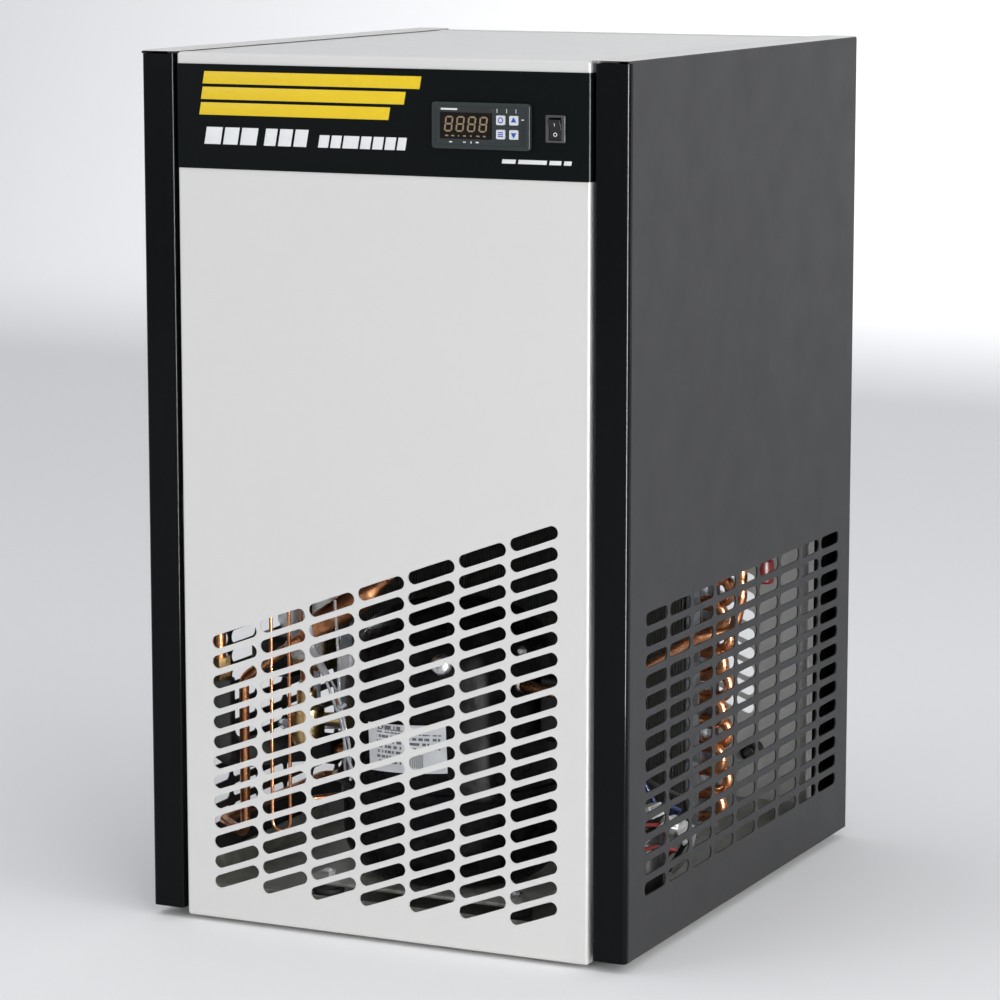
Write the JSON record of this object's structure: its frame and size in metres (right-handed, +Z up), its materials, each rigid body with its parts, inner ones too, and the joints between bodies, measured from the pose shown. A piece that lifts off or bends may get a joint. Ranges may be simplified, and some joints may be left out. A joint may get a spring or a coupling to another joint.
{
  "type": "refrigerated air dryer",
  "caption": "Upright compressed-air dryer cabinet with a slotted front and sides, black corner posts, a controller and rocker switch in a black band, and a compressor, condenser and fan inside.",
  "frame": {"origin": "centre of the bounding box at floor level, under the feet", "axes": "+Z up, -Y towards the control panel, +X to the right of someone facing the panel"},
  "size_m": [0.408, 0.4998, 0.683],
  "materials": {
    "light_grey_paint": "satin powder coat, very light grey",
    "gloss_black_paint": "gloss black paint",
    "dark_grey_paint": "fine-textured satin dark grey powder coat",
    "overlay_film": "gloss black film",
    "galvanised": "galvanised sheet, dull",
    "dark_plastic": "satin dark grey plastic",
    "display_plastic": "smoked window",
    "white_plastic": "satin white",
    "cream_plastic": "satin cream",
    "black_plastic": "satin black",
    "rubber": "matte",
    "foam": "matte closed-cell foam",
    "copper": "bright drawn copper",
    "brass": "machined brass",
    "aluminium": "satin",
    "fin_coating": "black coated fins",
    "shell_enamel": "gloss black enamel",
    "hose": "translucent white"
  },
  "bodies": {
    "cabinet": {"base_pan": "galvanised", "foot_front_left": "rubber", "foot_front_right": "rubber", "foot_rear_left": "rubber", "foot_rear_right": "rubber", "front_panel": "light_grey_paint", "control_overlay": "overlay_film", "front_post_left": "gloss_black_paint", "front_post_right": "gloss_black_paint", "rear_post_left": "gloss_black_paint", "rear_post_right": "gloss_black_paint", "side_panel_left": "dark_grey_paint", "side_panel_right": "dark_grey_paint", "top_panel": "light_grey_paint", "rear_panel": "light_grey_paint", "controller_housing": "dark_plastic", "controller_display": "display_plastic", "controller_terminals": "cream_plastic", "switch_frame": "dark_plastic", "air_inlet_fitting": "brass", "air_outlet_fitting": "brass", "condensate_outlet": "brass", "cable_gland": "black_plastic", "compressor_shell": "shell_enamel", "compressor_plate": "shell_enamel", "grommet_front_left": "rubber", "grommet_front_right": "rubber", "grommet_rear_left": "rubber", "grommet_rear_right": "rubber", "compressor_terminal_cover": "black_plastic", "condenser_fins": "fin_coating", "condenser_serpentine": "copper", "condenser_end_left": "galvanised", "condenser_end_right": "galvanised", "fan_shroud": "galvanised", "fan_motor": "aluminium", "fan_motor_bracket": "galvanised", "exchanger_shelf": "galvanised", "heat_exchanger": "foam", "air_inlet_pipe": "copper", "air_outlet_pipe": "copper", "moisture_separator": "aluminium", "drain_valve_body": "brass", "drain_valve_coil": "black_plastic", "drain_hose": "hose", "discharge_line": "copper", "liquid_line": "copper", "filter_drier": "copper", "capillary_tube": "copper", "suction_line": "copper", "hot_gas_line": "copper", "hot_gas_valve": "brass", "terminal_block": "cream_plastic", "run_capacitor": "black_plastic"},
    "fan": {"fan_rotor": "black_plastic"},
    "rocker": {"switch_rocker": "black_plastic"},
    "set_key": {"key_set": "white_plastic"},
    "up_key": {"key_up": "white_plastic"},
    "function_key": {"key_function": "white_plastic"},
    "down_key": {"key_down": "white_plastic"}
  },
  "joints": [
    {"name": "fan_spin", "type": "hinge", "parent": "cabinet", "child": "fan", "pos_m": [0, 0.0668, 0.1805], "axis": [0, 1, 0], "continuous": true},
    {"name": "power_switch", "type": "hinge", "parent": "cabinet", "child": "rocker", "pos_m": [0.1461, -0.2455, 0.632], "axis": [-1, 0, 0], "range_deg": [0, 24]},
    {"name": "set_key_press", "type": "slide", "parent": "cabinet", "child": "set_key", "axis": [0, 1, 0], "range_m": [0, 0.0008], "stiffness_N_per_m": 1200, "springref_m": -0.0005},
    {"name": "up_key_press", "type": "slide", "parent": "cabinet", "child": "up_key", "axis": [0, 1, 0], "range_m": [0, 0.0008], "stiffness_N_per_m": 1200, "springref_m": -0.0005},
    {"name": "function_key_press", "type": "slide", "parent": "cabinet", "child": "function_key", "axis": [0, 1, 0], "range_m": [0, 0.0008], "stiffness_N_per_m": 1200, "springref_m": -0.0005},
    {"name": "down_key_press", "type": "slide", "parent": "cabinet", "child": "down_key", "axis": [0, 1, 0], "range_m": [0, 0.0008], "stiffness_N_per_m": 1200, "springref_m": -0.0005}
  ]
}
